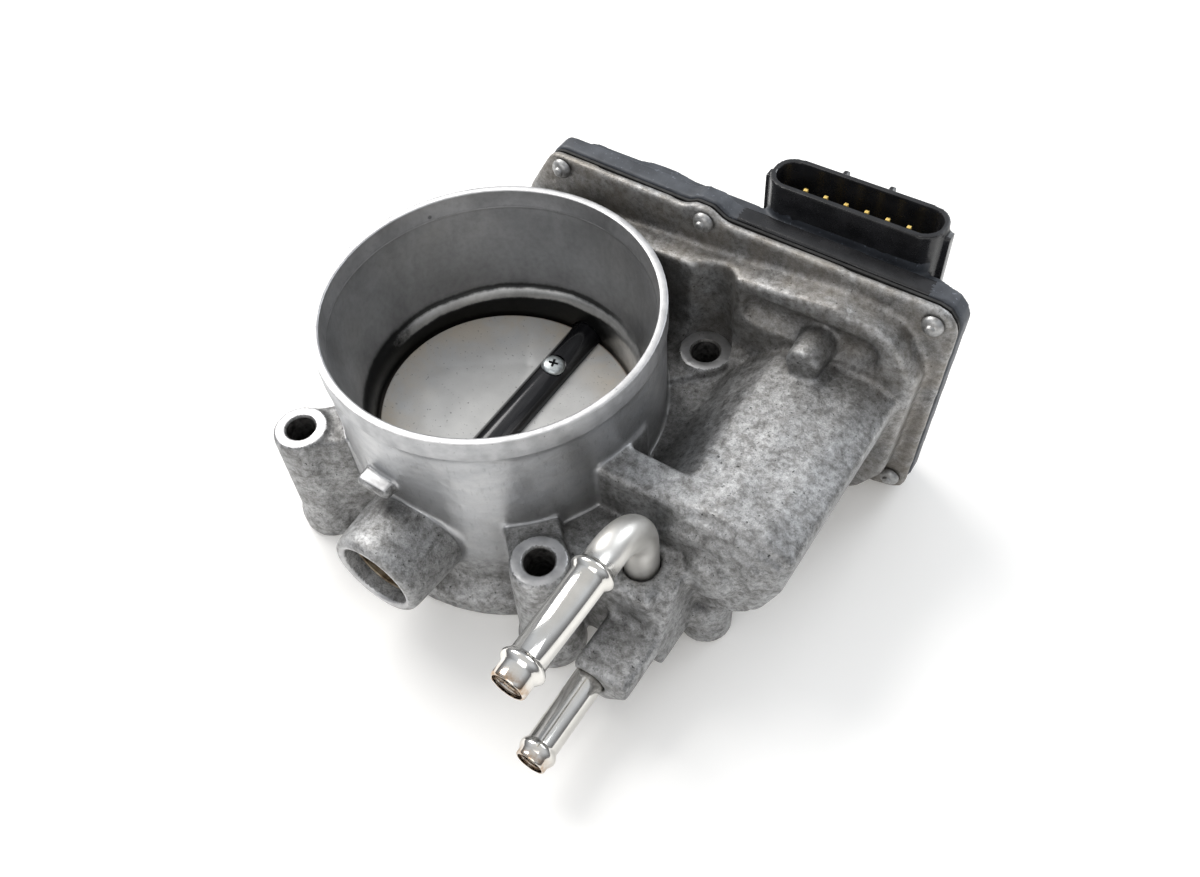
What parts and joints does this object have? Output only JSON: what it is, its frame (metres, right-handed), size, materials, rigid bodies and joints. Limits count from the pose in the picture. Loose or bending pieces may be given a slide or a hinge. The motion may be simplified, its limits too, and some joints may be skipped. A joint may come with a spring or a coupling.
{
  "type": "electronic throttle body",
  "caption": "Motorised throttle body: round inlet bore with a turning plate, geared motor under a side cover, wiring socket and coolant pipes.",
  "frame": {"origin": "middle of the bounding box, on the base plane", "axes": "+Z along the bore towards the inlet; +Y along the throttle shaft towards the gear cover; +X from the bore towards the motor"},
  "size_m": [0.1348, 0.1388, 0.074],
  "materials": {
    "cast_aluminium": "as cast, tumbled",
    "black_cover_plastic": "matte",
    "black_rubber": "matte",
    "rivet_aluminium": "satin",
    "nickel_plated_tube": "bright plated",
    "bright_steel": "ground",
    "plug_steel": "dull",
    "black_shaft_steel": "blackened, glossy",
    "throttle_plate_brass": "satin, plated",
    "zinc_screw": "zinc plated",
    "gear_nylon": "moulded",
    "magnet_ferrite": "dull",
    "copper_winding": "bright",
    "brush_carbon": "dull",
    "gold_terminal": "bright",
    "spring_wire": "dark"
  },
  "bodies": {
    "casting": {"brush_card": "gear_nylon", "coolant_elbow_pipe": "nickel_plated_tube", "coolant_straight_pipe": "nickel_plated_tube", "cover_gasket": "black_rubber", "cover_rivet_1": "rivet_aluminium", "cover_rivet_2": "rivet_aluminium", "cover_rivet_3": "rivet_aluminium", "cover_rivet_4": "rivet_aluminium", "cover_rivet_5": "rivet_aluminium", "cover_rivet_6": "rivet_aluminium", "front_bearing": "bright_steel", "front_shaft_seal": "black_rubber", "full_close_stop_screw": "bright_steel", "gear_cover": "black_cover_plastic", "housing": "cast_aluminium", "idler_pin": "bright_steel", "motor_brush_1": "brush_carbon", "motor_brush_2": "brush_carbon", "motor_can": "bright_steel", "motor_end_plate": "bright_steel", "motor_magnet_1": "magnet_ferrite", "motor_magnet_2": "magnet_ferrite", "motor_screw_1": "zinc_screw", "motor_screw_2": "zinc_screw", "motor_terminal_1": "copper_winding", "motor_terminal_2": "copper_winding", "position_sensor": "black_cover_plastic", "rear_bearing_outer": "bright_steel", "rear_shaft_seal": "black_rubber", "return_spring": "spring_wire", "shaft_end_plug": "plug_steel", "terminal_pin_1": "gold_terminal", "terminal_pin_2": "gold_terminal", "terminal_pin_3": "gold_terminal", "terminal_pin_4": "gold_terminal", "terminal_pin_5": "gold_terminal", "terminal_pin_6": "gold_terminal", "wave_washer": "spring_wire"},
    "throttle": {"throttle_shaft": "black_shaft_steel", "throttle_plate": "throttle_plate_brass", "plate_screw_1": "zinc_screw", "plate_screw_2": "zinc_screw", "throttle_gear": "gear_nylon", "sensor_magnet": "magnet_ferrite", "rear_bearing_inner": "bright_steel"},
    "idler": {"idler_gear": "gear_nylon"},
    "rotor": {"motor_shaft": "bright_steel", "motor_armature": "bright_steel", "commutator": "copper_winding", "motor_pinion": "bright_steel"}
  },
  "joints": [
    {"name": "throttle_turn", "type": "hinge", "parent": "casting", "child": "throttle", "pos_m": [-0.02268, -0.0018, 0.025], "axis": [0, 1, 0], "range_deg": [-6, 68], "stiffness_Nm_per_rad": 0.06, "deforming": ["return_spring"]},
    {"name": "idler_spin", "type": "hinge", "parent": "casting", "child": "idler", "pos_m": [0.00757, -0.0018, 0.03377], "axis": [0, 1, 0], "range_deg": [-214, 20]},
    {"name": "motor_spin", "type": "hinge", "parent": "casting", "child": "rotor", "pos_m": [0.03792, -0.0018, 0.0285], "axis": [0, 1, 0], "range_deg": [-80, 880]}
  ],
  "couplings": [
    {"joint": "idler_spin", "follows": "throttle_turn", "ratio": -3.1176},
    {"joint": "motor_spin", "follows": "throttle_turn", "ratio": 12.886}
  ]
}
